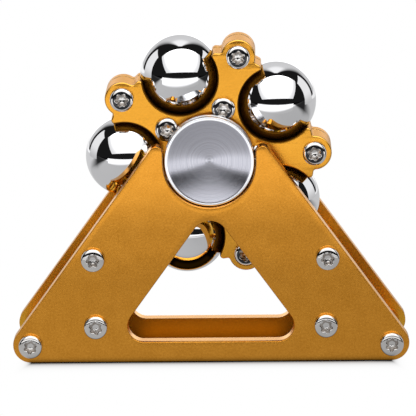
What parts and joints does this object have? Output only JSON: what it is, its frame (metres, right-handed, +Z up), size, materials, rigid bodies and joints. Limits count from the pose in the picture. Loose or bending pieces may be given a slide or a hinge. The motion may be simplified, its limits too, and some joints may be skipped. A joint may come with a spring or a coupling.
{
  "type": "ball wheel desk spinner",
  "caption": "Desk fidget spinner: a five-armed gold wheel traps chrome balls and turns on a bearing between two A-shaped plates, with turned silver caps resting in open notches.",
  "frame": {"origin": "on the table, under the middle of the stand", "axes": "+X across the stand to the right seen from the front, +Y to the back along the wheel's axle, +Z up"},
  "size_m": [0.0944, 0.0328, 0.0767],
  "materials": {
    "gold_anodised": "bead-blasted, gold anodised, satin",
    "screw_steel": "bright plated steel",
    "ball_chrome": "mirror polished steel",
    "turned_silver": "fine concentric turning marks",
    "bearing_steel": "ground steel",
    "cage_brass": "machined brass"
  },
  "bodies": {
    "stand": {"front_plate": "gold_anodised", "rear_plate": "gold_anodised", "standoff_left_foot": "gold_anodised", "standoff_left_base": "gold_anodised", "standoff_left_leg": "gold_anodised", "standoff_right_foot": "gold_anodised", "standoff_right_base": "gold_anodised", "standoff_right_leg": "gold_anodised", "screw_front_left_foot": "screw_steel", "screw_front_left_base": "screw_steel", "screw_front_left_leg": "screw_steel", "screw_front_right_foot": "screw_steel", "screw_front_right_base": "screw_steel", "screw_front_right_leg": "screw_steel", "screw_rear_left_foot": "screw_steel", "screw_rear_left_base": "screw_steel", "screw_rear_left_leg": "screw_steel", "screw_rear_right_foot": "screw_steel", "screw_rear_right_base": "screw_steel", "screw_rear_right_leg": "screw_steel"},
    "axle_core": {"front_cap": "turned_silver", "rear_cap": "turned_silver", "bearing_inner_race": "bearing_steel"},
    "wheel": {"wheel_front_half": "gold_anodised", "wheel_rear_half": "gold_anodised", "arm_screw_1": "screw_steel", "arm_screw_2": "screw_steel", "arm_screw_3": "screw_steel", "arm_screw_4": "screw_steel", "arm_screw_5": "screw_steel", "hub_screw_1": "screw_steel", "hub_screw_2": "screw_steel", "hub_screw_3": "screw_steel", "hub_screw_4": "screw_steel", "hub_screw_5": "screw_steel", "bearing_outer_race": "bearing_steel"},
    "bearing_cage_set": {"bearing_cage": "cage_brass", "bearing_ball_1": "bearing_steel", "bearing_ball_2": "bearing_steel", "bearing_ball_3": "bearing_steel", "bearing_ball_4": "bearing_steel", "bearing_ball_5": "bearing_steel", "bearing_ball_6": "bearing_steel", "bearing_ball_7": "bearing_steel", "bearing_ball_8": "bearing_steel", "bearing_ball_9": "bearing_steel", "bearing_ball_10": "bearing_steel"},
    "ball_1": {"steel_ball_1": "ball_chrome"},
    "ball_2": {"steel_ball_2": "ball_chrome"},
    "ball_3": {"steel_ball_3": "ball_chrome"},
    "ball_4": {"steel_ball_4": "ball_chrome"},
    "ball_5": {"steel_ball_5": "ball_chrome"}
  },
  "joints": [
    {"name": "spinner_lift", "type": "slide", "parent": "stand", "child": "axle_core", "axis": [0, 0, 1], "range_m": [0, 0.036]},
    {"name": "wheel_spin", "type": "hinge", "parent": "axle_core", "child": "wheel", "pos_m": [0, 0, 0.0482], "axis": [0, 1, 0], "continuous": true},
    {"name": "cage_orbit", "type": "hinge", "parent": "axle_core", "child": "bearing_cage_set", "pos_m": [0, 0, 0.0482], "axis": [0, 1, 0], "continuous": true},
    {"name": "ball_roll_1", "type": "hinge", "parent": "wheel", "child": "ball_1", "pos_m": [0.01596, 0, 0.06058], "axis": [0, 1, 0], "continuous": true},
    {"name": "ball_roll_2", "type": "hinge", "parent": "wheel", "child": "ball_2", "pos_m": [-0.00684, 0, 0.06721], "axis": [0, 1, 0], "continuous": true},
    {"name": "ball_roll_3", "type": "hinge", "parent": "wheel", "child": "ball_3", "pos_m": [-0.02019, 0, 0.04757], "axis": [0, 1, 0], "continuous": true},
    {"name": "ball_roll_4", "type": "hinge", "parent": "wheel", "child": "ball_4", "pos_m": [-0.00564, 0, 0.0288], "axis": [0, 1, 0], "continuous": true},
    {"name": "ball_roll_5", "type": "hinge", "parent": "wheel", "child": "ball_5", "pos_m": [0.01671, 0, 0.03685], "axis": [0, 1, 0], "continuous": true}
  ],
  "couplings": [
    {"joint": "cage_orbit", "follows": "wheel_spin", "ratio": 0.58333}
  ]
}
